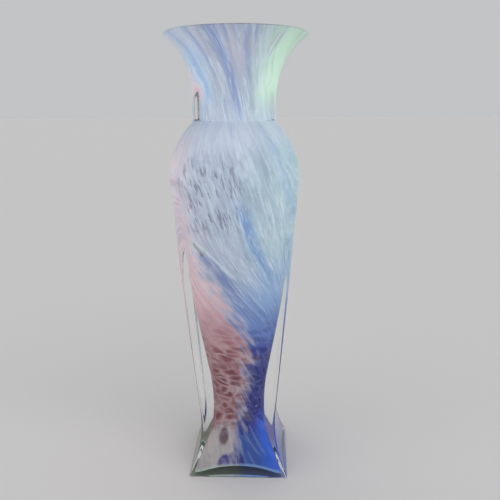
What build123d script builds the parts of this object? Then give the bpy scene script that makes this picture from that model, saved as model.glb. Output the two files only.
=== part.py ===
from build123d import *
import os
from math import acos, atan2, cos, exp, hypot, log, radians, sin, sqrt

# A tall hand blown vase of cased glass. A clear gather, blown square in a mould and opened
# into a round trumpet lip, is cased over a coloured bubble that fills the shoulders, tapers
# to a round waist and spreads into four lobes that stand in the corners of the foot.
# The bubble is itself laid up in layers, and every layer is fused to the next one.
#
# Frame: origin at the middle of the flat underside, +Z up the axis, the faces of the square
# body square to X and Y, the front face towards -Y. Millimetres.

os.makedirs("parts", exist_ok=True)

# Outline of the clear casing: half the width across the flats, at heights above the table
HEIGHT = 330.0
WAIST_HEIGHT = 42.0
WAIST_HALF = 28.6
FOOT_ARC = 97.0          # radius of the hollow curve from the waist down to the foot
SHOULDER_HEIGHT = 230.0
SHOULDER_HALF = 45.0
SHOULDER_ARC = 55.0      # radius of the round shoulder
NECK_HALF = 28.8
FLARE_HEIGHT = 283.0     # where the straight neck starts to open
FLARE_ARC = 55.5         # radius of the trumpet curve
LIP_ROUND = 1.1          # fire-polished edge

# Rounding of the casing's four upright edges
FOOT_CORNER = 1.5
WAIST_CORNER = 2.0
SHOULDER_CORNER = 12.0
NECK_CORNER = 2.0
EDGE_START = 150.0       # the edges stay sharp up to here, then grow round to the shoulder
ROUND_HEIGHT = 318.0     # from here up the trumpet is round
ROUND_SHARE = 0.995      # corner radius over half width where it is round

# Clear glass over the colour
CASING_BODY = 2.2
CASING_NECK = 3.0
CASING_LIP = 1.2

# The coloured bubble inside
CORE_WAIST_HEIGHT = 50.0
CORE_WAIST_RADIUS = 20.0
CORE_WAIST_ARC = 163.0   # radius of the curve that opens from its waist
CORE_TAPER = 0.193       # how fast it widens above the waist
LOBE_HEIGHT = 52.0       # below this it spreads into the four corners
LOBE_SPREAD = 0.70
LOBE_EASE = 6.0
LOBE_HOLLOW = 0.0031     # how fast the middle of each side moves out
LOBE_THINNING = 1.3      # how much more the inner layers draw back out of the lobes
BODY_SQUARE_START = 125.0
BODY_SQUARE_HEIGHT = 200.0
BODY_SQUARENESS = 1.14   # reach towards the corners over reach towards the faces
NECK_SQUARE_START = 245.0
NECK_SQUARENESS = 1.05
BUBBLE_ROUND_HEIGHT = 300.0
DOME_HEIGHT = 5.2        # rise of the clear space under the bubble
DOME_RADIUS = 300.0

# Thickness of the layers of the bubble, from the outside in
FRIT = 0.6
OPAL = 0.6
LINING = 0.6
LAYER_TOP = 328.6        # the lip of the casing closes over the layers here

# The colours lie in four fields that wind round the bubble
TWIST_BODY = 75.0        # degrees of turn from the foot to the shoulder
TWIST_NECK = 25.0        # degrees of turn from the shoulder to the lip
ROSE_START = 190.0
ROSE_END = 320.0
COBALT_END = 395.0
MINT_END = 460.0

shoulder_centre = SHOULDER_HALF - SHOULDER_ARC
foot_centre = WAIST_HALF + FOOT_ARC
crease_height = SHOULDER_HEIGHT + sqrt(SHOULDER_ARC ** 2 - (NECK_HALF - shoulder_centre) ** 2)

# The flat wall is the straight line that touches the foot curve and the shoulder curve
centre_run = foot_centre - shoulder_centre
centre_rise = WAIST_HEIGHT - SHOULDER_HEIGHT
wall_turn = acos((FOOT_ARC + SHOULDER_ARC) / hypot(centre_run, centre_rise))
wall_normal = atan2(centre_rise, centre_run) + wall_turn
wall_low = WAIST_HEIGHT - FOOT_ARC * sin(wall_normal)
wall_low_half = foot_centre - FOOT_ARC * cos(wall_normal)
wall_slope = -sin(wall_normal) / cos(wall_normal)
wall_high = SHOULDER_HEIGHT + SHOULDER_ARC * sin(wall_normal)

core_cone_height = CORE_WAIST_HEIGHT + CORE_WAIST_ARC * sin(atan2(CORE_TAPER, 1))
core_cone_radius = CORE_WAIST_RADIUS + CORE_WAIST_ARC * (1 - cos(atan2(CORE_TAPER, 1)))


def between(height, low, high, at_low, at_high):
    """A value that eases from at_low to at_high between two heights."""
    part_way = min(1.0, max(0.0, (height - low) / (high - low)))
    eased = part_way * part_way * (3 - 2 * part_way)
    return at_low + (at_high - at_low) * eased


def outer_half(height):
    """Half the width of the casing across its flats, or its radius at the lip."""
    if height <= wall_low:
        return foot_centre - sqrt(FOOT_ARC ** 2 - (height - WAIST_HEIGHT) ** 2)
    if height <= wall_high:
        return wall_low_half + wall_slope * (height - wall_low)
    if height <= crease_height:
        return shoulder_centre + sqrt(SHOULDER_ARC ** 2 - (height - SHOULDER_HEIGHT) ** 2)
    if height <= FLARE_HEIGHT:
        return NECK_HALF
    return NECK_HALF + FLARE_ARC - sqrt(FLARE_ARC ** 2 - (height - FLARE_HEIGHT) ** 2)


def outer_corner(height):
    """Corner radius of the casing; it reaches the half width where the lip is round."""
    if height <= SHOULDER_HEIGHT:
        low = between(height, 0, WAIST_HEIGHT, FOOT_CORNER, WAIST_CORNER)
        return between(height, EDGE_START, SHOULDER_HEIGHT, low, SHOULDER_CORNER)
    if height <= FLARE_HEIGHT:
        return between(height, SHOULDER_HEIGHT, crease_height, SHOULDER_CORNER, NECK_CORNER)
    round_corner = ROUND_SHARE * outer_half(height)
    return between(height, FLARE_HEIGHT, ROUND_HEIGHT, NECK_CORNER, round_corner)


def wall_lean(height):
    """Sideways thickness of a wall of unit thickness where it leans."""
    step = 0.5
    slope = (outer_half(height + step) - outer_half(height - step)) / (2 * step)
    return hypot(1, slope)


def casing_depth(height):
    """Thickness of the clear glass over the colour."""
    up_to_neck = between(height, SHOULDER_HEIGHT, crease_height, CASING_BODY, CASING_NECK)
    return between(height, FLARE_HEIGHT, LAYER_TOP, up_to_neck, CASING_LIP)


def core_side(height):
    """Distance of the bubble's outside from the axis, at the middle of a face."""
    if height <= LOBE_HEIGHT:
        return CORE_WAIST_RADIUS + LOBE_HOLLOW * (LOBE_HEIGHT - height) ** 2
    if height <= core_cone_height:
        rise = height - CORE_WAIST_HEIGHT
        return CORE_WAIST_RADIUS + CORE_WAIST_ARC - sqrt(CORE_WAIST_ARC ** 2 - rise ** 2)
    cone = core_cone_radius + CORE_TAPER * (height - core_cone_height)
    under_casing = outer_half(height) - casing_depth(height) * wall_lean(height)
    return -log(exp(-cone) + exp(-under_casing))


def core_corner(height):
    """Distance of the bubble's outside from the axis, towards a corner."""
    if height <= LOBE_HEIGHT:
        drop = LOBE_HEIGHT - height
        return CORE_WAIST_RADIUS + LOBE_SPREAD * drop ** 2 / (drop + LOBE_EASE)
    square = between(height, BODY_SQUARE_START, BODY_SQUARE_HEIGHT, 1.0, BODY_SQUARENESS)
    square = between(height, NECK_SQUARE_START, crease_height, square, NECK_SQUARENESS)
    square = between(height, FLARE_HEIGHT, BUBBLE_ROUND_HEIGHT, square, 1.0)
    return core_side(height) * square


def bubble_section(height, depth):
    """Corners and side middles of the surface that lies depth inside the bubble's outside."""
    side = core_side(height)
    corner = core_corner(height)
    lobe_gain = 1 + LOBE_THINNING * max(0.0, corner / side - 1)
    lean = wall_lean(height)
    return side - depth * lean, (corner - depth * lean * lobe_gain) / sqrt(2)


# Heights of the sections that the bubble's surface is drawn through, closer where it curves
bubble_heights = [0, 4, 8, 14, 20, 26, 32, 38, 44, 50, 60, 70, 82, 100, 120, 136, 150, 165]
bubble_heights += [185, 205, 220, 232, 242, 250, 257, 263, 270, 277, 285, 293, 301, 308]
bubble_heights += [314, 319, 324, 328, 332]


def bubble(depth, top):
    """Solid inside the surface that lies depth inside the bubble, cut off at the top."""
    with BuildPart() as form:
        for height in bubble_heights:
            side, corner = bubble_section(height, depth)
            with BuildSketch(Plane.XY.offset(height)):
                with BuildLine():
                    ThreePointArc((corner, -corner), (side, 0), (corner, corner))
                    ThreePointArc((corner, corner), (0, side), (-corner, corner))
                    ThreePointArc((-corner, corner), (-side, 0), (-corner, -corner))
                    ThreePointArc((-corner, -corner), (0, -side), (corner, -corner))
                make_face()
        loft()
        with Locations(Location((0, 0, DOME_HEIGHT + depth - DOME_RADIUS), (90, 0, 0))):
            Sphere(DOME_RADIUS, mode=Mode.SUBTRACT)
        split(bisect_by=Plane.XY.offset(top), keep=Keep.BOTTOM)
    return form.part


colour_outside = bubble(0, LAYER_TOP)
opal_outside = bubble(FRIT, LAYER_TOP)
lining_outside = bubble(FRIT + OPAL, LAYER_TOP)
hollow = bubble(FRIT + OPAL + LINING, bubble_heights[-1])


# Clear inner gather: the skin that holds the water
with BuildPart() as inner_lining:
    add(lining_outside)
    add(hollow, mode=Mode.SUBTRACT)
inner_lining.part.label = "inner_lining"
export_step(inner_lining.part, "parts/inner_lining.step")


# White opal ground that the colours lie on
with BuildPart() as opal_ground:
    add(opal_outside)
    add(lining_outside, mode=Mode.SUBTRACT)
opal_ground.part.label = "opal_ground"
export_step(opal_ground.part, "parts/opal_ground.step")


# Colour fields: the frit coat is divided by wedges that wind round the axis
def field_turn(height):
    """Degrees that the colour fields have turned back, clockwise, at this height."""
    body = between(height, 0, SHOULDER_HEIGHT, 0, TWIST_BODY)
    return body + between(height, SHOULDER_HEIGHT, HEIGHT, 0, TWIST_NECK)


WEDGE_REACH = 90.0       # past the widest part of the vase
WEDGE_MARGIN = 10        # past the foot and the lip
WEDGE_STEP = 35
wedge_heights = range(-WEDGE_MARGIN, int(HEIGHT) + WEDGE_MARGIN + 1, WEDGE_STEP)


def wedge(start, end):
    """Solid between two edges of a colour field, from below the foot to above the lip."""
    middle = (start + end) / 2
    with BuildPart() as form:
        for height in wedge_heights:
            corners = [(0, 0)]
            for edge in (start, middle, end):
                angle = radians(edge - field_turn(height))
                corners.append((WEDGE_REACH * cos(angle), WEDGE_REACH * sin(angle)))
            with BuildSketch(Plane.XY.offset(height)):
                with BuildLine():
                    Polyline(*corners, close=True)
                make_face()
        loft(ruled=True)
    return form.part


fields = {
    "rose_frit": wedge(ROSE_START, ROSE_END),
    "cobalt_frit": wedge(ROSE_END, COBALT_END),
    "mint_frit": wedge(COBALT_END, MINT_END),
    "lavender_frit": wedge(MINT_END, ROSE_START + 360),
}

for name, field in fields.items():
    with BuildPart() as coloured_frit:
        add(colour_outside)
        add(opal_outside, mode=Mode.SUBTRACT)
        add(field, mode=Mode.INTERSECT)
    coloured_frit.part.label = name
    export_step(coloured_frit.part, f"parts/{name}.step")


# Clear casing: square foot and body up to the crease, then the neck and the trumpet. The lists
# are the heights of the sections its outside is drawn through.
body_heights = [0, 8, 16, 24, 33, 42, 51, 80, 110, 140, 170, 200, 225, 233, 241, 249, 256]
body_heights += [262, 266, crease_height]
trumpet_heights = [crease_height, 276, FLARE_HEIGHT, 290, 297, 304, 311, 318]
trumpet_heights += [323, 328]

with BuildPart() as clear_casing:
    for height in body_heights:
        width = 2 * outer_half(height)
        with BuildSketch(Plane.XY.offset(height)):
            RectangleRounded(width, width, outer_corner(height))
    loft()
    for height in trumpet_heights:
        width = 2 * outer_half(height)
        with BuildSketch(Plane.XY.offset(height)):
            RectangleRounded(width, width, outer_corner(height))
    loft()
    extrude(clear_casing.faces().sort_by(Axis.Z)[-1], amount=HEIGHT - trumpet_heights[-1])
    fillet(clear_casing.edges().group_by(Axis.Z)[-1], LIP_ROUND)
    add(colour_outside, mode=Mode.SUBTRACT)
    add(hollow, mode=Mode.SUBTRACT)
    lip_face = clear_casing.faces().sort_by(Axis.Z)[-1]
    fillet(lip_face.inner_wires()[0].edges(), LIP_ROUND)
clear_casing.part.label = "clear_casing"
export_step(clear_casing.part, "parts/clear_casing.step")
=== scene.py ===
from math import acos, atan2, cos, hypot, pi, radians, sin, sqrt

import bpy
import numpy as np
from mathutils import Euler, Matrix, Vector


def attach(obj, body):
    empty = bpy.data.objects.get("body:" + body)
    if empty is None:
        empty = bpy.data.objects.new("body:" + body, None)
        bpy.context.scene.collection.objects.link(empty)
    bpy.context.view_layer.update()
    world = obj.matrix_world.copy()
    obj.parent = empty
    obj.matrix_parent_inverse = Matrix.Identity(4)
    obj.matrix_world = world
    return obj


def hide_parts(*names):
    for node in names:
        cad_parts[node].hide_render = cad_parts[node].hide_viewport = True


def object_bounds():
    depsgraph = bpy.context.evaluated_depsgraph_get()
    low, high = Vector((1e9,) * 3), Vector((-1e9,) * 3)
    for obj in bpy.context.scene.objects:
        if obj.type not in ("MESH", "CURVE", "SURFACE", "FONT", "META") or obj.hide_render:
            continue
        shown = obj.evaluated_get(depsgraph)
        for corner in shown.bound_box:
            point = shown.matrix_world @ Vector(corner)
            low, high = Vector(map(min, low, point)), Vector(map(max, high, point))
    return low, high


# A hand blown vase of cased glass: a clear outer casing over a coloured bubble. The shapes are
# the ones the CAD frame holds, drawn here on fine even grids. The shape functions work in
# millimetres, as the design does; MM turns them into Blender's metres.

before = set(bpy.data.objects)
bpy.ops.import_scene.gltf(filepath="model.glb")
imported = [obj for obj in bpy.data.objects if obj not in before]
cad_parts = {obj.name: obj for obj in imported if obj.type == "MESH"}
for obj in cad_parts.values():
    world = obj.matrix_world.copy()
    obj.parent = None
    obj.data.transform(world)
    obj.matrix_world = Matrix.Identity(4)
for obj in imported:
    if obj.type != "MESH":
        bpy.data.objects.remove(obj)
cad_low, cad_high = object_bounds()
MM = 0.001

# ---------------------------------------------------------------- shape of the glass, in mm
HEIGHT = (cad_high.z - cad_low.z) / MM
LIP_RADIUS = (cad_high.x - cad_low.x) / 2 / MM
WAIST_HEIGHT = 42.0
WAIST_HALF = 28.6
FOOT_ARC = 97.0
SHOULDER_HEIGHT = 230.0
SHOULDER_HALF = 45.0
SHOULDER_ARC = 55.0
NECK_HALF = 28.8
FLARE_HEIGHT = 283.0
FLARE_ARC = 55.5
FLARE_END = 328.0        # the rounded lip begins here
LIP_BULGE = 1.3
CREASE_ROUND = 0.5       # softens the crease between shoulder and neck

# Radius of the casing's upright edges, and where they grow round
FOOT_CORNER = 1.5
WAIST_CORNER = 2.0
SHOULDER_CORNER = 12.0
NECK_CORNER = 2.0
EDGE_START = 150.0       # above this the edges grow round towards the shoulder
ROUND_HEIGHT = HEIGHT - 12.0
ROUND_SHARE = 0.999      # from there up, the corner radius over the half width
FOOT_EDGE = 0.7          # radius of the edge the vase stands on

# Thickness of the clear glass over the colour
CASING_BODY = 2.2
CASING_NECK = 3.0
CASING_LIP = 1.2

# The coloured bubble
CORE_WAIST_HEIGHT = 50.0
CORE_WAIST_RADIUS = 20.0
CORE_WAIST_ARC = 163.0
CORE_TAPER = 0.193       # how far the side runs out for each mm up, above the waist
LOBE_HEIGHT = 52.0       # below this the bubble spreads into a lobe at each corner
LOBE_SPREAD = 0.70       # how far a lobe runs out for each mm down, in the end
LOBE_EASE = 6.0          # mm over which it starts to
LOBE_HOLLOW = 0.0031     # how fast the hollow sides between the lobes come out, per mm
LOBE_THINNING = 1.3      # how much faster the lobes' points draw in, layer by layer
BODY_SQUARE_START = 125.0
BODY_SQUARE_HEIGHT = 200.0
BODY_SQUARENESS = 1.14   # reach of the bubble's corners over the reach of its sides
NECK_SQUARE_START = 245.0
NECK_SQUARENESS = 1.05
BUBBLE_ROUND_HEIGHT = 300.0
DOME_HEIGHT = 5.2        # top of the domed underside
DOME_RADIUS = 300.0      # of the sphere it is part of

# Thickness of the bubble's layers
FRIT = 0.6
OPAL = 0.6
LINING = 0.6
LAYER_TOP = 328.6
LIP_COLOUR = 0.6         # the colour shows this much further up, inside the clear lip
SUNK = 0.04              # how far one layer reaches into the next, so that no air shows between

# The colour fields: how far they wind in degrees, and where each starts and ends at the base
TWIST_BODY = 75.0
TWIST_NECK = 25.0
FIELDS = {
    "rose_frit": (190.0, 320.0),
    "cobalt_frit": (320.0, 395.0),
    "mint_frit": (395.0, 460.0),
    "lavender_frit": (460.0, 550.0),
}

# Centres of the profile's arcs, and where its straight walls touch them
shoulder_centre = SHOULDER_HALF - SHOULDER_ARC
foot_centre = WAIST_HALF + FOOT_ARC
crease_height = SHOULDER_HEIGHT + sqrt(SHOULDER_ARC ** 2 - (NECK_HALF - shoulder_centre) ** 2)
centre_run = foot_centre - shoulder_centre
centre_rise = WAIST_HEIGHT - SHOULDER_HEIGHT
wall_turn = acos((FOOT_ARC + SHOULDER_ARC) / hypot(centre_run, centre_rise))
wall_normal = atan2(centre_rise, centre_run) + wall_turn
wall_low = WAIST_HEIGHT - FOOT_ARC * sin(wall_normal)
wall_low_half = foot_centre - FOOT_ARC * cos(wall_normal)
wall_slope = -sin(wall_normal) / cos(wall_normal)
wall_high = SHOULDER_HEIGHT + SHOULDER_ARC * sin(wall_normal)
core_cone_height = CORE_WAIST_HEIGHT + CORE_WAIST_ARC * sin(atan2(CORE_TAPER, 1))
core_cone_radius = CORE_WAIST_RADIUS + CORE_WAIST_ARC * (1 - cos(atan2(CORE_TAPER, 1)))


def ease(x, low, high, at_low=0.0, at_high=1.0):
    """Eases from at_low to at_high as x goes from low to high; works on arrays."""
    t = np.clip((np.asarray(x, float) - low) / (high - low), 0, 1)
    return at_low + (at_high - at_low) * t * t * (3 - 2 * t)


def outer_half(height):
    """Half the width of the casing across its flats, or its radius at the lip."""
    h = np.asarray(height, float)
    drop = np.clip(WAIST_HEIGHT - h, -FOOT_ARC, FOOT_ARC)
    foot = foot_centre - np.sqrt(FOOT_ARC ** 2 - drop ** 2)
    wall = wall_low_half + wall_slope * (h - wall_low)
    above = np.clip(h - SHOULDER_HEIGHT, -SHOULDER_ARC, SHOULDER_ARC)
    shoulder = shoulder_centre + np.sqrt(SHOULDER_ARC ** 2 - above ** 2)
    rise = np.clip(h - FLARE_HEIGHT, 0, FLARE_ARC)
    flare = NECK_HALF + FLARE_ARC - np.sqrt(FLARE_ARC ** 2 - rise ** 2)
    upper = CREASE_ROUND * np.logaddexp(shoulder / CREASE_ROUND, flare / CREASE_ROUND)
    return np.where(h <= wall_low, foot, np.where(h <= wall_high, wall, upper))


def outer_corner(height):
    """Corner radius of the casing; it reaches the half width where the lip is round."""
    h = np.asarray(height, float)
    low = ease(h, 0, WAIST_HEIGHT, FOOT_CORNER, WAIST_CORNER)
    body = ease(h, EDGE_START, SHOULDER_HEIGHT, low, SHOULDER_CORNER)
    neck = ease(h, SHOULDER_HEIGHT, crease_height, SHOULDER_CORNER, NECK_CORNER)
    flare = ease(h, FLARE_HEIGHT, ROUND_HEIGHT, NECK_CORNER, ROUND_SHARE * outer_half(h))
    upper = np.where(h <= FLARE_HEIGHT, neck, flare)
    return np.where(h <= SHOULDER_HEIGHT, body, upper)


def wall_lean(height):
    """Sideways thickness of a wall of unit thickness where it leans."""
    step = 0.5
    return np.hypot(1, (outer_half(height + step) - outer_half(height - step)) / (2 * step))


def casing_depth(height):
    """Thickness of the clear glass over the colour."""
    up_to_neck = ease(height, SHOULDER_HEIGHT, crease_height, CASING_BODY, CASING_NECK)
    return ease(height, FLARE_HEIGHT, LAYER_TOP, up_to_neck, CASING_LIP)


def core_side(height):
    """Distance of the bubble's outside from the axis, at the middle of a face."""
    h = np.asarray(height, float)
    lobes = CORE_WAIST_RADIUS + LOBE_HOLLOW * np.maximum(LOBE_HEIGHT - h, 0) ** 2
    rise = np.clip(h - CORE_WAIST_HEIGHT, 0, CORE_WAIST_ARC)
    waist = CORE_WAIST_RADIUS + CORE_WAIST_ARC - np.sqrt(CORE_WAIST_ARC ** 2 - rise ** 2)
    cone = core_cone_radius + CORE_TAPER * (h - core_cone_height)
    under_casing = outer_half(h) - casing_depth(h) * wall_lean(h)
    upper = -np.logaddexp(-cone, -under_casing)
    return np.where(h <= LOBE_HEIGHT, lobes, np.where(h <= core_cone_height, waist, upper))


def core_corner(height):
    """Distance of the bubble's outside from the axis, towards a corner."""
    h = np.asarray(height, float)
    drop = np.maximum(LOBE_HEIGHT - h, 0)
    lobes = CORE_WAIST_RADIUS + LOBE_SPREAD * drop ** 2 / (drop + LOBE_EASE)
    squareness = ease(h, BODY_SQUARE_START, BODY_SQUARE_HEIGHT, 1.0, BODY_SQUARENESS)
    squareness = ease(h, NECK_SQUARE_START, crease_height, squareness, NECK_SQUARENESS)
    squareness = ease(h, FLARE_HEIGHT, BUBBLE_ROUND_HEIGHT, squareness, 1.0)
    return np.where(h <= LOBE_HEIGHT, lobes, core_side(h) * squareness)


def fold(angle):
    """Angle from the nearest face's middle, 0 to 45 degrees."""
    return np.abs((angle + pi / 4) % (pi / 2) - pi / 4)


def rounded_square(angle, half, corner):
    """Radius of a square with rounded corners, in the direction of angle."""
    folded = fold(angle)
    run, side = np.cos(folded), np.sin(folded)
    straight = half - corner
    arc = straight * (run + side)
    arc = arc + np.sqrt(np.maximum(corner ** 2 - straight ** 2 * (run - side) ** 2, 0))
    return np.where(half * np.tan(folded) <= straight, half / run, arc)


NEARLY_FLAT = 1e-6


def four_arcs(angle, side, corner):
    """Radius of a ring of four arcs, in the direction of angle: through the side middles and
    the corner points, hollow where the corners reach far out."""
    folded = fold(angle)
    across = corner / sqrt(2)
    gap = across - side
    gap = np.where(np.abs(gap) < NEARLY_FLAT, NEARLY_FLAT, gap)
    centre = (2 * across ** 2 - side ** 2) / (2 * gap)
    reach = np.sqrt(np.maximum((side - centre) ** 2 - (centre * np.sin(folded)) ** 2, 0))
    return centre * np.cos(folded) + np.where(centre < side, reach, -reach)


# The bubble's outline is a weighted mean over nearby directions: (steps of spread, weight)
SOFT_SPREAD = radians(3.0)
SOFT_TAPS = ((-2, 0.06), (-1, 0.24), (0, 0.40), (1, 0.24), (2, 0.06))


def bubble_radius(angle, height, depth):
    """Radius of the surface that lies depth inside the bubble's outside, its lobes softened."""
    side, corner = core_side(height), core_corner(height)
    lobe_gain = 1 + LOBE_THINNING * np.maximum(corner / side - 1, 0)
    lean = wall_lean(height)
    side, corner = side - depth * lean, corner - depth * lean * lobe_gain
    return sum(w * four_arcs(angle + k * SOFT_SPREAD, side, corner) for k, w in SOFT_TAPS)


def dome_height(radius, depth):
    """Height of the domed underside of the bubble at this distance from the axis."""
    return DOME_HEIGHT + depth - DOME_RADIUS + np.sqrt(DOME_RADIUS ** 2 - radius ** 2)


RIM_GUESS = 4.0
RIM_STEPS = 40


def rim_height(radius_at, depth, columns):
    """Height in each column where the domed underside meets the bubble's side, whose radius at
    any heights radius_at gives."""
    height = np.full(columns, RIM_GUESS)
    for _ in range(RIM_STEPS):
        height = (height + dome_height(radius_at(height), depth)) / 2
    return height


def field_turn(height):
    """How far the colour fields have turned back, clockwise, at this height, in radians."""
    body = ease(height, 0, SHOULDER_HEIGHT, 0, TWIST_BODY)
    return np.radians(body + ease(height, SHOULDER_HEIGHT, HEIGHT, 0, TWIST_NECK))


# ---------------------------------------------------------------- meshes
def new_object(name, points, faces, sharp_degrees):
    """A smooth-shaded mesh object from points in mm."""
    mesh = bpy.data.meshes.new(name)
    mesh.from_pydata((np.asarray(points) * MM).tolist(), [], faces)
    mesh.validate()
    mesh.polygons.foreach_set("use_smooth", [True] * len(mesh.polygons))
    mesh.set_sharp_from_angle(angle=radians(sharp_degrees))
    mesh.update()
    made = bpy.data.objects.new(name, mesh)
    bpy.context.scene.collection.objects.link(made)
    return made


class Skin:
    """Rings of points joined into one mesh."""

    def __init__(self):
        self.points = []
        self.faces = []

    def add_ring(self, ring):
        first = len(self.points)
        self.points.extend(ring.tolist())
        return list(range(first, len(self.points)))

    def add_point(self, point):
        self.points.append(list(point))
        return len(self.points) - 1

    def bridge(self, lower, upper, closed=True, flip=False):
        """Fills in between two rings."""
        count = len(lower)
        for i in range(count if closed else count - 1):
            j = (i + 1) % count
            quad = (lower[i], lower[j], upper[j], upper[i])
            self.faces.append(quad[::-1] if flip else quad)

    def fan(self, centre, ring, closed=True, flip=False):
        """Fills in between a ring and the point in its middle."""
        count = len(ring)
        for i in range(count if closed else count - 1):
            j = (i + 1) % count
            triangle = (centre, ring[j], ring[i])
            self.faces.append(triangle[::-1] if flip else triangle)


def ring_points(angle, radius, height):
    """Points of a ring round the axis."""
    height = np.broadcast_to(height, angle.shape)
    return np.stack([radius * np.cos(angle), radius * np.sin(angle), height], axis=1)


CORNER_COLUMNS = 24      # from the middle of a face to its corner, on the casing
CORNER_CROWDING = 2.2    # how much closer the columns are at the corners
SMALLEST_CORNER = 0.3
EDGE_ROWS = 6            # round the edge the vase stands on
LIP_ROWS = 21
CASING_ROWS = 180        # down the inside of the casing
FIELD_COLUMNS = 288      # around the whole vase, in the frit layers
COAT_COLUMNS = 144       # and in the opal and the lining
BUBBLE_ROWS = 260        # up the side of a layer
DOME_ROWS = 26           # from the middle of the dome to its rim
UNDERSIDE_SHARES = np.linspace(0.08, 0.96, 12)
CASING_BANDS = (         # heights of the casing's rings: first, last and number
    (2, 60, 40),
    (62, 222, 80),
    (224, crease_height - 3, 38),
    (crease_height - 2.5, crease_height + 2.5, 21),
    (crease_height + 3.5, FLARE_HEIGHT, 10),
    (284, FLARE_END, 50),
)


def casing_angles():
    """Directions of the casing's columns, close together at the corners."""
    share = np.arange(CORNER_COLUMNS) / CORNER_COLUMNS
    eighth = pi / 4 * (1 - (1 - share) ** CORNER_CROWDING)
    quarter = np.concatenate([eighth, pi / 2 - eighth[:0:-1], [pi / 4]])
    quarter = np.sort(quarter)
    return np.concatenate([quarter + k * pi / 2 for k in range(4)])


def bubble_grid(depth, turns, top):
    """Angle, radius and height of the side of one bubble surface, in rows up columns that turn
    with the colour fields. Row 0 is the rim of the domed underside."""
    rim = rim_height(lambda h: bubble_radius(turns - field_turn(h), h, depth), depth, len(turns))
    share = np.linspace(0, 1, BUBBLE_ROWS)[:, None]
    height = rim + (top - rim) * share
    angle = turns - field_turn(height)
    return angle, bubble_radius(angle, height, depth), height


def casing_outside(skin, angle):
    """Rings of the flat underside, the edge round it, the square body, the neck and the
    trumpet."""
    def outer_ring(height, inset=0.0):
        half = outer_half(height) - inset
        corner = np.maximum(outer_corner(height) - inset, SMALLEST_CORNER)
        return skin.add_ring(ring_points(angle, rounded_square(angle, half, corner), height))

    rings = []
    flat_half = float(outer_half(0.0)) - FOOT_EDGE
    for share in UNDERSIDE_SHARES:
        flat = rounded_square(angle, flat_half * share, FOOT_CORNER * share)
        rings.append(skin.add_ring(ring_points(angle, flat, 0.0)))
    for turn in np.linspace(0, pi / 2, EDGE_ROWS):
        rings.append(outer_ring(FOOT_EDGE * (1 - cos(turn)), FOOT_EDGE * (1 - sin(turn))))
    for band in CASING_BANDS:
        rings += [outer_ring(height) for height in np.linspace(*band)]
    return rings


def casing_lip(skin, angle):
    """Rings over the rounded lip and down to the ends of the layers."""
    rings = []
    lip_height = HEIGHT - LIP_BULGE
    all_layers = FRIT + OPAL + LINING
    lip_middle = (LIP_RADIUS + bubble_radius(angle, lip_height, all_layers)) / 2
    for turn in np.linspace(0, pi, LIP_ROWS):
        radius = lip_middle + (LIP_RADIUS - lip_middle) * cos(turn)
        height = lip_height + LIP_BULGE * sin(turn)
        rings.append(skin.add_ring(ring_points(angle, radius, height)))
    hollow = bubble_radius(angle, LAYER_TOP, all_layers)
    rings.append(skin.add_ring(ring_points(angle, hollow, LAYER_TOP)))
    return rings


def casing_inside(skin, angle):
    """Rings down the inside, where the casing meets the colour, and in under the dome."""
    rings = []
    rim = rim_height(lambda h: bubble_radius(angle, h, 0.0), 0.0, len(angle))
    for share in np.linspace(0, 1, CASING_ROWS):
        height = LAYER_TOP + (rim - LAYER_TOP) * share
        wall = bubble_radius(angle, height, 0.0)
        rings.append(skin.add_ring(ring_points(angle, wall, height)))
    rim_radius = bubble_radius(angle, rim, 0.0)
    for share in np.arange(DOME_ROWS - 1, 0, -1) / DOME_ROWS:
        radius = rim_radius * share
        rings.append(skin.add_ring(ring_points(angle, radius, dome_height(radius, 0.0))))
    return rings


def make_casing():
    """The clear outer glass, as one closed skin."""
    skin = Skin()
    angle = casing_angles()
    underside = skin.add_point((0, 0, 0))
    rings = casing_outside(skin, angle) + casing_lip(skin, angle) + casing_inside(skin, angle)
    dome_top = skin.add_point((0, 0, DOME_HEIGHT))
    skin.fan(underside, rings[0])
    for lower, upper in zip(rings, rings[1:]):
        skin.bridge(lower, upper)
    skin.fan(dome_top, rings[-1], flip=True)
    return new_object("casing_glass", skin.points, skin.faces, 30)


def make_layer(name, outside, inside, top, turns, closed):
    """One layer between two depths, over the columns given: all the way round if closed, else
    with an end face at each side."""
    skin = Skin()
    walls = []
    for depth in (outside, inside):
        angle, radius, height = bubble_grid(depth, turns, top)
        rows = []
        for share in np.arange(1, DOME_ROWS) / DOME_ROWS:
            inner = radius[0] * share
            rows.append(skin.add_ring(ring_points(angle[0], inner, dome_height(inner, depth))))
        for row in zip(angle, radius, height):
            rows.append(skin.add_ring(ring_points(*row)))
        centre = skin.add_point((0, 0, DOME_HEIGHT + depth))
        walls.append((centre, rows))
    for (centre, rows), flip in zip(walls, (False, True)):
        skin.fan(centre, rows[0], closed, flip)
        for lower, upper in zip(rows, rows[1:]):
            skin.bridge(lower, upper, closed, flip)
    skin.bridge(walls[0][1][-1], walls[1][1][-1], closed)
    if not closed:
        (outer_centre, outer), (inner_centre, inner) = walls
        for column, turned in ((0, False), (-1, True)):
            near = [outer_centre] + [row[column] for row in outer]
            far = [inner_centre] + [row[column] for row in inner]
            skin.bridge(near, far, False, turned)
    return new_object(name, skin.points, skin.faces, 40)


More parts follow.
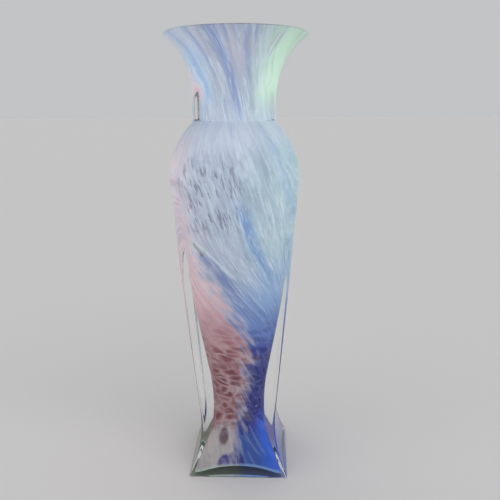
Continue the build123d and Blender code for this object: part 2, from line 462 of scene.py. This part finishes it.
# ---------------------------------------------------------------- colours
# The broad colours of the glass, with a few colours of painted light among them, as display
# values from 0 to 255
PALE = (180, 190, 207)
SEA_GREY = (176, 200, 206)
# painted light: a lighter pale laid where the shoulder and the trumpet's upper left lie in shade
PAINTED_LIGHT_PALE = (206, 214, 230)
SKY = (186, 212, 236)
PERIWINKLE = (138, 158, 204)
GREY_LAVENDER = (190, 190, 204)
MINT = (208, 238, 215)
CYAN_WHITE = (190, 218, 228)
PINK_WHITE = (254, 230, 236)
PINK = (242, 206, 212)
DUSTY_PINK = (204, 158, 168)
ROSE = (176, 116, 124)
BURGUNDY = (140, 74, 86)
SOFT_BLUE = (146, 176, 216)
SLATE_BLUE = (126, 160, 206)
BLUE = (90, 122, 190)
DUSK_BLUE = (122, 140, 188)
COBALT = (2, 8, 124)
STEEL = (48, 96, 182)
CORNFLOWER = (42, 108, 238)
MILK = (200, 194, 192)
MAROON_GREY = (104, 82, 90)
SAGE = (132, 146, 118)
VIOLET = (140, 132, 190)
BROWN = (92, 70, 74)
THREAD = (224, 226, 232)
VEIN = (130, 152, 194)
# the underside's own green and blue, made lighter as a painted glow where little light reaches
GREEN_WITH_PAINTED_GLOW = (196, 226, 200)
BLUE_WITH_PAINTED_GLOW = (120, 164, 236)


def srgb(red, green, blue):
    """A linear colour from 0-255 display values."""
    linear = [((v / 255 + 0.055) / 1.055) ** 2.4 if v > 10 else v / 255 / 12.92
              for v in (red, green, blue)]
    return (*linear, 1.0)


# Colours that the shaders lay over the broad ones, and of the clear glass, floor and sky
SHADE_TINT = (0.70, 0.74, 0.84, 1.0)
CELL_TINT = (0.48, 0.34, 0.42, 1.0)
THREAD_WHITE = srgb(212, 224, 236)
VEIN_WHITE = srgb(212, 192, 194)
VEIN_BLUE = srgb(160, 180, 222)
THREAD_PINK = srgb(228, 212, 214)
VEIL = srgb(196, 194, 210)
DASH_GREY = srgb(122, 124, 150)
OPAL_WHITE = srgb(228, 231, 238)
CLEAR_TINT = (0.985, 0.995, 0.99, 1.0)
LINING_TINT = (0.99, 0.99, 0.995, 1.0)
FLOOR_COLOUR = srgb(218, 216, 215)
SKY_TINT = (0.97, 0.98, 1.0, 1.0)


# ---------------------------------------------------------------- materials
GLASS_IOR = 1.5
CELL_ACROSS = 2.0        # cells for each radian round the vase
CELL_ALONG = 1.8         # and for each cm up it
CELL_WOBBLE = 1.0        # how far noise bends the cells
FEATHER = 15.0           # degrees that the border of rose and blue strays from its line
BORDER_SOFTNESS = 11.0   # degrees to either side over which one turns into the other
VEIL_REACH = 24.0        # degrees from the border to where its white veil ends


class Nodes:
    """Short forms for building a material's node tree."""

    def __init__(self, name):
        self.material = bpy.data.materials.new(name)
        self.material.use_nodes = True
        self.tree = self.material.node_tree
        self.tree.nodes.clear()

    def add(self, kind, **settings):
        node = self.tree.nodes.new(kind)
        for key, value in settings.items():
            setattr(node, key, value)
        return node

    def put(self, socket, value):
        if isinstance(value, bpy.types.NodeSocket):
            self.tree.links.new(value, socket)
        elif value is not None:
            socket.default_value = value

    def math(self, operation, a, b=None):
        node = self.add("ShaderNodeMath", operation=operation)
        for socket, value in zip(node.inputs, (a, b)):
            self.put(socket, value)
        return node.outputs[0]

    def attribute(self, name, kind="Fac"):
        return self.add("ShaderNodeAttribute", attribute_name=name).outputs[kind]

    def span(self, value, low, high, at_low=0.0, at_high=1.0):
        node = self.add("ShaderNodeMapRange", interpolation_type="SMOOTHSTEP")
        for socket, item in zip(node.inputs, (value, low, high, at_low, at_high)):
            self.put(socket, item)
        return node.outputs[0]

    def mix(self, share, a, b, blend="MIX"):
        node = self.add("ShaderNodeMix", data_type="RGBA", blend_type=blend)
        self.put(node.inputs[0], share)
        self.put(node.inputs[6], a)
        self.put(node.inputs[7], b)
        return node.outputs[2]

    def noise(self, vector, scale, detail, rough=0.5, bend=0.0, output="Fac"):
        node = self.add("ShaderNodeTexNoise")
        self.put(node.inputs["Vector"], vector)
        node.inputs["Scale"].default_value = scale
        node.inputs["Detail"].default_value = detail
        node.inputs["Roughness"].default_value = rough
        node.inputs["Distortion"].default_value = bend
        return node.outputs[output]

    def stretch(self, vector, factors):
        node = self.add("ShaderNodeVectorMath", operation="MULTIPLY")
        self.put(node.inputs[0], vector)
        node.inputs[1].default_value = factors
        return node.outputs[0]

    def bump(self, height, strength, distance):
        node = self.add("ShaderNodeBump")
        node.inputs["Strength"].default_value = strength
        node.inputs["Distance"].default_value = distance
        self.put(node.inputs["Height"], height)
        return node.outputs[0]

    def finish(self, shader):
        out = self.add("ShaderNodeOutputMaterial")
        self.tree.links.new(shader, out.inputs["Surface"])
        return self.material


def clear_glass(name, tint, wave_strength, wave_scale):
    """Clear blown glass: smooth, with the slow waves and faint haze of hand work. Shadow rays
    go straight through it, so that the colour inside is lit."""
    n = Nodes(name)
    place = n.add("ShaderNodeTexCoord").outputs["Object"]
    bsdf = n.add("ShaderNodeBsdfPrincipled")
    bsdf.inputs["Base Color"].default_value = tint
    bsdf.inputs["IOR"].default_value = GLASS_IOR
    bsdf.inputs["Transmission Weight"].default_value = 1.0
    haze = n.noise(place, 60.0, 2.0)
    n.put(bsdf.inputs["Roughness"], n.span(haze, 0.45, 0.8, 0.0, 0.02))
    waves = n.noise(place, wave_scale, 1.5)
    n.put(bsdf.inputs["Normal"], n.bump(waves, wave_strength, 0.0006))
    open_way = n.add("ShaderNodeBsdfTransparent")
    open_way.inputs["Color"].default_value = tint
    rays = n.add("ShaderNodeLightPath")
    mix = n.add("ShaderNodeMixShader")
    n.put(mix.inputs[0], rays.outputs["Is Shadow Ray"])
    n.put(mix.inputs[1], bsdf.outputs[0])
    n.put(mix.inputs[2], open_way.outputs[0])
    return n.finish(mix.outputs[0])


def streak_map(n, flow, across, along, detail, rough, bend=0.0):
    """Noise drawn out along the flow of the glass, with about as many features for a radian
    round the vase as across says, and for a cm up it as along says."""
    return n.noise(n.stretch(flow, (across, across, along)), 1.0, detail, rough, bend)


def cell_maps(n, flow):
    """The pulled cells of the lower body: distance from the vein between two cells, and from
    the middle of a cell."""
    place = n.stretch(flow, (CELL_ACROSS, CELL_ACROSS, CELL_ALONG))
    bent = n.add("ShaderNodeVectorMath", operation="MULTIPLY_ADD")
    n.put(bent.inputs[0], n.noise(place, 0.9, 2.0, 0.5, output="Color"))
    bent.inputs[1].default_value = (CELL_WOBBLE,) * 3
    n.put(bent.inputs[2], place)
    edge = n.add("ShaderNodeTexVoronoi", feature="DISTANCE_TO_EDGE")
    middle = n.add("ShaderNodeTexVoronoi", feature="F1")
    for node in (edge, middle):
        n.put(node.inputs["Vector"], bent.outputs[0])
        node.inputs["Scale"].default_value = 1.0
    return edge.outputs["Distance"], middle.outputs["Distance"]


def field_colour(n, flow, broad):
    """The painted rose and blue glazes, to either side of their feathered border, with the
    white veil along it. Also gives the share of rose."""
    feather = streak_map(n, flow, 4.5, 0.9, 4.0, 0.55)
    stray = n.span(feather, 0.25, 0.75, -FEATHER, FEATHER)
    reach = n.math("ADD", n.attribute("border"), stray)
    rose = n.span(reach, -BORDER_SOFTNESS, BORDER_SOFTNESS)
    colour = n.mix(rose, n.attribute("glaze", "Color"), n.attribute("rose", "Color"))
    veil = n.span(n.math("ABSOLUTE", reach), 2.0, VEIL_REACH, 0.62, 0.0)
    veil = n.math("MULTIPLY", veil, n.span(broad, 0.38, 0.60, 0.25, 1.0))
    return n.mix(veil, colour, VEIL), rose


def lay_threads(n, colour, flow, fine, rose, threads):
    """White threads of three widths, from streaks, wisps and hairs."""
    wisp = streak_map(n, flow, 9.0, 0.75, 3.0, 0.6, 0.5)
    hair = streak_map(n, flow, 34.0, 0.60, 2.0, 0.5)
    thread_colour = n.mix(rose, THREAD_WHITE, THREAD_PINK)
    kinds = ((fine, 0.48, 0.70, 0.60), (wisp, 0.54, 0.68, 0.50), (hair, 0.57, 0.70, 0.55))
    for pattern, low, high, strength in kinds:
        share = n.math("MULTIPLY", n.span(pattern, low, high, 0.0, strength), threads)
        colour = n.mix(share, colour, thread_colour)
    return colour


def lay_dashes(n, colour, flow, dashes):
    """Short grey dashes along the flow."""
    dash = streak_map(n, flow, 20.0, 1.0, 2.5, 0.55)
    share = n.math("MULTIPLY", n.span(dash, 0.50, 0.62, 0.0, 0.75), dashes)
    return n.mix(share, colour, DASH_GREY)


def lay_cells(n, colour, edge, middle, flow, rose, cells):
    """Cells with dark middles and pale veins between them, patchy and fainter on the blue."""
    centre = n.math("MULTIPLY", n.span(middle, 0.15, 0.65, 0.62, 0.0), cells)
    colour = n.mix(centre, colour, n.mix(1.0, colour, CELL_TINT, "MULTIPLY"))
    patchy = streak_map(n, flow, 2.4, 0.9, 2.0, 0.5)
    vein = n.math("ADD", n.span(edge, 0.0, 0.30, 0.42, 0.0), n.span(edge, 0.0, 0.08, 0.14, 0.0))
    vein = n.math("MULTIPLY", vein, cells)
    vein = n.math("MULTIPLY", vein, n.span(patchy, 0.35, 0.62, 0.35, 1.15))
    vein = n.math("MULTIPLY", vein, n.span(rose, 0.0, 1.0, 0.30, 1.0))
    return n.mix(vein, colour, n.mix(rose, VEIN_BLUE, VEIN_WHITE))


def coloured_glass(name, haze=0.0):
    """Frit glass: broad colours from the painted glazes, drawn into streaks, threads, dashes
    and veined cells by noise that follows the flow. Haze whitens it, as seen through the opal."""
    n = Nodes(name)
    flow = n.attribute("flow", "Vector")
    marks = n.add("ShaderNodeSeparateColor")
    n.put(marks.inputs[0], n.attribute("marks", "Color"))
    cells, dashes, threads = marks.outputs[:3]
    broad = streak_map(n, flow, 6.0, 0.30, 3.0, 0.6)
    fine = streak_map(n, flow, 17.0, 0.45, 4.0, 0.65)
    edge, middle = cell_maps(n, flow)
    colour, rose = field_colour(n, flow, broad)
    shade = n.mix(1.0, colour, SHADE_TINT, "MULTIPLY")
    colour = n.mix(n.span(broad, 0.36, 0.56, 0.55, 0.0), colour, shade)
    colour = lay_threads(n, colour, flow, fine, rose, threads)
    colour = lay_dashes(n, colour, flow, dashes)
    colour = lay_cells(n, colour, edge, middle, flow, rose, cells)
    if haze:
        colour = n.mix(haze, colour, OPAL_WHITE)
    bsdf = n.add("ShaderNodeBsdfPrincipled")
    n.put(bsdf.inputs["Base Color"], colour)
    n.put(bsdf.inputs["Roughness"], n.span(fine, 0.3, 0.7, 0.24, 0.42))
    bsdf.inputs["IOR"].default_value = GLASS_IOR
    bsdf.inputs["Specular IOR Level"].default_value = 0.25
    n.put(bsdf.inputs["Normal"], n.bump(n.math("ADD", fine, edge), 0.25, 0.0003))
    return n.finish(bsdf.outputs[0])


# ---------------------------------------------------------------- where the colours lie
# How far the drawn streaks have turned at a height, in degrees
FLOW_HEIGHTS = (0, 45, 150, 180, 270, 330)
FLOW_TURNS = (0, 25, 175, 205, 240, 267)

# Where the rose meets the blue, as heights and degrees from the middle of the front
BORDER_HEIGHTS = (7, 31, 53, 76, 92, 113, 129, 164, 185)
BORDER_ANGLES = (-9, -6, 5, 16, 19, 13, -10, -38, -52)
ROSE_LEFT = -150.0       # the angle where the rose ends at the back
ROSE_DEEP = 60.0         # degrees inside that count as well inside
ROSE_TOP = 196.0
ROSE_TOP_SLOPE = 0.9     # degrees inside for each mm below the top


def flow_turn(height):
    """Turn of the drawn streaks at a height, in degrees, without kinks."""
    return sum(np.interp(height + k, FLOW_HEIGHTS, FLOW_TURNS) for k in (-12, -6, 0, 6, 12)) / 5


def around(angle, middle):
    """Difference between two angles, from -180 to 180 degrees."""
    return (angle - middle + 180) % 360 - 180


def hump(x, width):
    """1 at zero, falling off smoothly to both sides."""
    return np.exp(-(x / width) ** 2)


def between(x, low, high, soft):
    """1 between low and high, with soft ends."""
    return ease(x, low - soft, low + soft) * (1 - ease(x, high - soft, high + soft))


class Glaze:
    """Broad colour at each point of a skin; angle is in degrees from the middle of the front,
    positive to the right."""

    def __init__(self, angle, height):
        self.angle = angle
        self.height = height
        self.flow = angle + flow_turn(height)
        self.colour = np.tile(np.array(PALE, float), (len(angle), 1))

    def lay(self, colour, weight):
        """Mixes a colour in, by its weight at each point."""
        weight = np.clip(weight, 0, 1)[:, None]
        self.colour += (np.array(colour) - self.colour) * weight

    def linear(self):
        """The colour as linear red, green, blue and alpha."""
        shown = self.colour / 255
        return np.column_stack((((shown + 0.055) / 1.055) ** 2.4, np.ones(len(shown))))

    def sector(self, middle, width, soft):
        """1 within width of an angle, with soft sides."""
        return 1 - ease(np.abs(around(self.angle, middle)), width - soft, width + soft)

    def streak(self, colour, angle, height, width, low, high, weight, soft=5):
        """A streak along the flow that passes the given angle at the given height."""
        start = angle + float(flow_turn(np.array(height)))
        shape = hump(around(self.flow, start), width) * between(self.height, low, high, soft)
        self.lay(colour, weight * shape)

    def stroke(self, first, last, width):
        """A straight stroke between two (angle, height) points."""
        part = (self.height - first[1]) / (last[1] - first[1])
        middle = first[0] + (last[0] - first[0]) * part
        return hump(around(self.angle, middle), width) * between(part, 0.04, 0.96, 0.12)

    def oval(self, angle, height, wide, tall):
        """An oval with a soft edge."""
        far = (around(self.angle, angle) / wide) ** 2 + ((self.height - height) / tall) ** 2
        return 1 - ease(far, 0.35, 1.35)

    def line(self, colour, first, last, width, weight):
        self.lay(colour, weight * self.stroke(first, last, width))

    def spot(self, colour, angle, height, wide, tall, weight):
        self.lay(colour, weight * self.oval(angle, height, wide, tall))


def glaze_trumpet(g):
    """Trumpet and neck: sky at the left, grey lavender in the middle, mint at the right, and
    painted light over the upper left.
    """
    g.lay(SKY, g.sector(-75, 38, 14) * ease(g.height, 262, 290))
    # painted light: a lighter pale over the upper left of the trumpet, which faces down and lies
    # in shade
    g.lay(PAINTED_LIGHT_PALE, g.sector(-66, 44, 14) * ease(g.height, 310, 322) * 0.95)
    g.lay(GREY_LAVENDER, g.sector(-5, 24, 12) * ease(g.height, 285, 318))
    g.lay(MINT, g.sector(82, 48, 18) * ease(g.height, 255, 292))
    g.lay(CYAN_WHITE, g.sector(80, 40, 16) * between(g.height, 236, 276, 14) * 0.8)
    g.lay(PINK, g.sector(-84, 24, 8) * between(g.height, 282, 304, 6))
    g.streak(PERIWINKLE, -8.5, 309, 6.0, 266, 340, 0.85)
    g.streak(PERIWINKLE, -34, 318, 3.0, 300, 340, 0.5)
    g.streak(SOFT_BLUE, -48, 300, 5.0, 285, 335, 0.5)
    g.streak(PERIWINKLE, 16, 311, 2.6, 298, 322, 0.5)
    for angle in (-5, 4, 12, 19):
        g.streak(PERIWINKLE, angle, 326, 1.7, 321, 340, 0.6)
    for angle in (39, 44):
        g.line(GREY_LAVENDER, (angle + 1, 327), (angle - 2, 311), 1.2, 0.9)


def glaze_body(g):
    """Shoulders and upper body: pale, pink white at the left and cyan white at the right, with a
    band of painted light round the shoulder.
    """
    # painted light: a lighter band round the shoulder, which lies in the shade of the neck and
    # trumpet
    g.lay(PAINTED_LIGHT_PALE, between(g.height, 246, 274, 12) * 0.8)
    g.lay(PINK_WHITE, g.sector(-92, 44, 16) * between(g.height, 120, 250, 16))
    g.lay(CYAN_WHITE, g.sector(80, 44, 22) * between(g.height, 120, 250, 12))
    g.lay(SOFT_BLUE, g.sector(50, 30, 22) * between(g.height, 112, 172, 18) * 0.8)
    g.lay(SOFT_BLUE, g.sector(34, 40, 18) * between(g.height, 96, 150, 14) * 0.8)
    g.lay(SEA_GREY, g.sector(32, 26, 16) * between(g.height, 170, 244, 16) * 0.6)
    g.streak(SLATE_BLUE, 4, 219, 6.5, 160, 210, 1.0, 12)
    g.streak(SOFT_BLUE, 42, 240, 4.0, 205, 262, 0.4, 10)
    g.line(DUSK_BLUE, (-36, 178), (20, 126), 12.0, 0.9)
    g.lay(SOFT_BLUE, g.sector(170, 70, 30) * between(g.height, 110, 240, 30) * 0.5)


def rose_reach(g):
    """How far inside the rose field a point lies, in degrees; negative outside it."""
    border = sum(np.interp(g.height + k, BORDER_HEIGHTS, BORDER_ANGLES) for k in (-5, 0, 5)) / 3
    from_right = -around(g.angle, border)
    from_left = around(g.angle, ROSE_LEFT)
    from_left = np.where(np.abs(from_left) > 2 * ROSE_DEEP, ROSE_DEEP, from_left)
    from_top = (ROSE_TOP - g.height) * ROSE_TOP_SLOPE
    return np.minimum(np.minimum(from_right, from_left), from_top)


def glaze_rose(g):
    """The rose field, from pale pink below the shoulder down to the burgundy waist."""
    g.lay(PINK_WHITE, 1.0 + 0 * g.height)
    g.lay(PINK, 1 - ease(g.height, 140, 190))
    g.lay(DUSTY_PINK, (1 - ease(g.height, 118, 154)) * (1 - 0.5 * g.sector(-85, 34, 14)))
    g.lay(ROSE, 1 - ease(g.height, 98, 124))
    g.lay(BURGUNDY, (1 - ease(g.height, 84, 108)) * 0.75)


def glaze_blue(g):
    """The blue right of the rose, deepening to cobalt at the waist."""
    blue = g.sector(60, 95, 25)
    g.lay(BLUE, blue * (1 - ease(g.height, 112, 152)) * 0.9)
    g.lay(COBALT, blue * (1 - ease(g.height, 88, 116)))
    g.lay(STEEL, g.sector(180, 60, 25) * (1 - ease(g.height, 70, 130)) * 0.8)


def glaze_foot(g):
    """The lobes of the foot: milky at the left, steel blue at the right."""
    low = 1 - ease(g.height, 22, 40)
    g.lay(MILK, g.sector(-40, 34, 6) * low * 0.95)
    g.lay(STEEL, g.sector(20, 26, 6) * (1 - ease(g.height, 24, 42)) * 0.9)
    g.lay(CORNFLOWER, g.sector(46, 12, 9) * (1 - ease(g.height, 34, 52)) * 0.9)
    g.lay(CORNFLOWER, g.sector(68, 20, 8) * (1 - ease(g.height, 34, 52)) * 0.9)
    g.lay(VIOLET, g.sector(112, 26, 10) * low)
    g.lay(SAGE, g.sector(-100, 34, 10) * low)


def foot_marks(g):
    """The large cells and veins of the foot, drawn over both fields."""
    g.spot(MILK, -27, 27, 20, 14, 0.9)
    g.spot(MAROON_GREY, -26, 28, 7.5, 8, 1.0)
    for angle, height in ((-22, 7), (-9, 9), (4, 8)):
        g.spot(COBALT, angle, height, 8, 6, 0.85)
    g.line(VEIN, (8, 34), (34, 12), 1.6, 0.8)
    g.line(VEIN, (22, 38), (38, 14), 1.4, 0.8)
    g.line(VEIN, (2, 20), (14, 5), 1.4, 0.8)
    g.line(VEIN, (16, 16), (26, 4), 1.2, 0.7)
    g.line(MILK, (-12, 16), (-2, 12), 3.0, 0.6)


def glaze_and_glow_underside(g, radius):
    """The domed underside, seen through the clear strip below it: green left, blue right, both
    laid lighter than the glass as a painted glow, since little light reaches it.
    """
    under = 1 - ease(np.abs(g.height - dome_height(radius, FRIT / 2)), 0.5, 1.3)
    # painted glow: a light green, and a light blue at the right, brighter than the shade the
    # underside lies in
    g.lay(GREEN_WITH_PAINTED_GLOW, under)
    g.lay(BLUE_WITH_PAINTED_GLOW, under * ease(np.sin(np.radians(g.angle)), -0.2, 0.3))


def mark_strengths(g):
    """How strongly cells, dashes and threads show at each point, as one colour."""
    cells = (1 - ease(g.height, 94, 142)) * ease(g.height, 28, 44, 0.15, 1.0)
    dashes = g.sector(-22, 30, 16) * between(g.height, 192, 244, 10)
    dashes = np.maximum(dashes, 0.25 * between(g.height, 150, 250, 10))
    dashes = np.maximum(dashes, 0.25 * g.sector(-45, 18, 8) * (1 - ease(g.height, 16, 26)))
    threads = ease(g.height, 106, 166, 0.03, 1.0)
    return np.column_stack((cells, dashes, threads, np.ones(len(cells))))


def paint(piece):
    """Stores at each vertex both glazes, how far inside the rose it lies, its place along the
    flow, and how strongly the marks show."""
    mesh = piece.data
    place = np.empty(len(mesh.vertices) * 3)
    mesh.vertices.foreach_get("co", place)
    x, y, height = place.reshape(-1, 3).T / MM
    glaze = Glaze(np.degrees(np.arctan2(x, -y)), height)
    rose = Glaze(glaze.angle, height)
    for lay_on in (glaze_trumpet, glaze_body, glaze_blue, glaze_foot, foot_marks):
        lay_on(glaze)
    for lay_on in (glaze_rose, glaze_foot, foot_marks):
        lay_on(rose)
    seam = glaze.stroke((-43, 187), (0, 158), 1.6)
    freckle = 0.85 * glaze.stroke((-43, 185), (-35, 175), 1.8)
    for part in (glaze, rose):
        part.lay(THREAD, seam)
        part.lay(BROWN, freckle)
        glaze_and_glow_underside(part, np.hypot(x, y))
    border = rose_reach(glaze) - VEIL_REACH * np.maximum(seam, freckle)
    turn = np.radians(glaze.flow)
    flow = np.column_stack((np.cos(turn), np.sin(turn), height / 10))
    colours = {"glaze": glaze.linear(), "rose": rose.linear(), "marks": mark_strengths(glaze)}
    for name, channels in colours.items():
        layer = mesh.color_attributes.new(name, "FLOAT_COLOR", "POINT")
        layer.data.foreach_set("color", channels.ravel())
    layer = mesh.attributes.new("border", "FLOAT", "POINT")
    layer.data.foreach_set("value", border)
    layer = mesh.attributes.new("flow", "FLOAT_VECTOR", "POINT")
    layer.data.foreach_set("vector", flow.ravel())


# ---------------------------------------------------------------- pieces
casing = make_casing()
casing.data.materials.append(clear_glass("clear_casing_glass", CLEAR_TINT, 0.05, 14.0))
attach(casing, "root")
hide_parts("clear_casing")

colour_top = LAYER_TOP + LIP_COLOUR
field_step = 2 * pi / FIELD_COLUMNS
for node, (start, end) in FIELDS.items():
    first = round(radians(start) / field_step)
    last = round(radians(end) / field_step)
    turns = np.arange(first, last + 1) * field_step
    frit = make_layer(node.replace("_frit", "_skin"), -SUNK, FRIT, colour_top, turns, False)
    paint(frit)
    frit.data.materials.append(coloured_glass(node.replace("_frit", "_glass")))
    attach(frit, "root")
    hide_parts(node)

all_turns = np.arange(COAT_COLUMNS) * 2 * pi / COAT_COLUMNS
opal = make_layer("opal_skin", FRIT, FRIT + OPAL, colour_top, all_turns, True)
paint(opal)
opal.data.materials.append(coloured_glass("opal_ground_glass", haze=0.62))
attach(opal, "root")
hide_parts("opal_ground")

lining = make_layer("lining_skin", FRIT + OPAL - SUNK, FRIT + OPAL + LINING, LAYER_TOP - SUNK,
                    all_turns, True)
lining.data.materials.append(clear_glass("inner_lining_glass", LINING_TINT, 0.03, 20.0))
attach(lining, "root")
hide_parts("inner_lining")


# ---------------------------------------------------------------- floor, light and camera
FLOOR_REACH = 30.0
FLOOR_GAP = 0.0002       # between the floor and the glass, so that their faces don't coincide
SKY_STRENGTH = 0.56
PANEL_SPREAD = 50.0      # degrees, so that little of the panels' light falls on the floor


def make_floor():
    corners = [(x * FLOOR_REACH, y * FLOOR_REACH, 0)
               for x, y in ((-1, -1), (1, -1), (1, 1), (-1, 1))]
    mesh = bpy.data.meshes.new("floor")
    mesh.from_pydata(corners, [], [(0, 1, 2, 3)])
    floor = bpy.data.objects.new("floor", mesh)
    floor.location.z = cad_low.z - FLOOR_GAP
    bpy.context.scene.collection.objects.link(floor)
    n = Nodes("floor_paint")
    bsdf = n.add("ShaderNodeBsdfPrincipled")
    bsdf.inputs["Base Color"].default_value = FLOOR_COLOUR
    bsdf.inputs["Roughness"].default_value = 0.8
    floor.data.materials.append(n.finish(bsdf.outputs[0]))


def add_lamp(name, data, towards_lamp):
    """A lamp that shines away from the given direction, and shows in no reflection."""
    lamp = bpy.data.objects.new(name, data)
    lamp.rotation_euler = Vector(towards_lamp).to_track_quat("Z", "Y").to_euler()
    lamp.visible_glossy = False
    lamp.visible_transmission = False
    bpy.context.scene.collection.objects.link(lamp)
    return lamp


def soft_sun(name, direction, strength, spread):
    """A wide, soft studio lamp, shining from the given direction towards the vase."""
    data = bpy.data.lights.new(name, "SUN")
    data.energy = strength
    data.angle = radians(spread)
    add_lamp(name, data, direction)


def low_panel(name, place, target, size, power):
    """A soft panel near the floor, for the underside of the trumpet."""
    data = bpy.data.lights.new(name, "AREA")
    data.shape = "RECTANGLE"
    data.size, data.size_y = size
    data.energy = power
    data.spread = radians(PANEL_SPREAD)
    add_lamp(name, data, Vector(place) - Vector(target)).location = place


def make_light():
    world = bpy.data.worlds.new("studio")
    world.use_nodes = True
    background = world.node_tree.nodes["Background"]
    background.inputs["Color"].default_value = SKY_TINT
    background.inputs["Strength"].default_value = SKY_STRENGTH
    bpy.context.scene.world = world
    soft_sun("key", (0.8, -1.0, 0.75), 0.98, 60)
    soft_sun("left_fill", (-1.0, -0.8, 0.1), 0.70, 70)
    soft_sun("back_fill", (-0.3, 1.0, 0.35), 0.45, 90)
    lip = (0, 0, cad_high.z)
    low_panel("low_front", (0.0, -0.85, 0.15), lip, (0.8, 0.2), 0.253)
    low_panel("low_left", (-0.8, -0.35, 0.15), lip, (0.6, 0.2), 0.264)
    low_panel("low_right", (0.8, -0.35, 0.15), lip, (0.6, 0.2), 0.242)


SENSOR = 36.0            # mm
FOCAL = 43.2
CAMERA_DISTANCE = 1.365  # from the axis, in heights of the vase
CAMERA_HEIGHT = 0.835    # above the base, in heights of the vase
CAMERA_PITCH = 13.0      # degrees, as the ones below
CAMERA_AZIMUTH = 3.3
CAMERA_PAN = 1.17
CAMERA_ROLL = 0.39


def make_camera():
    tall = cad_high.z - cad_low.z
    data = bpy.data.cameras.new("camera")
    data.lens = FOCAL
    data.sensor_width = SENSOR
    camera = bpy.data.objects.new("camera", data)
    turn = radians(CAMERA_AZIMUTH)
    away = CAMERA_DISTANCE * tall
    camera.location = (away * sin(turn), -away * cos(turn), cad_low.z + CAMERA_HEIGHT * tall)
    heading = turn - radians(CAMERA_PAN)
    look = Euler((pi / 2 - radians(CAMERA_PITCH), 0, heading), "XYZ").to_quaternion()
    roll = Euler((0, 0, -radians(CAMERA_ROLL)), "XYZ").to_quaternion()
    camera.rotation_mode = "QUATERNION"
    camera.rotation_quaternion = look @ roll
    data.clip_start = 0.01
    bpy.context.scene.collection.objects.link(camera)
    bpy.context.scene.camera = camera


make_floor()
make_light()
make_camera()
bpy.context.scene.view_settings.view_transform = "Standard"
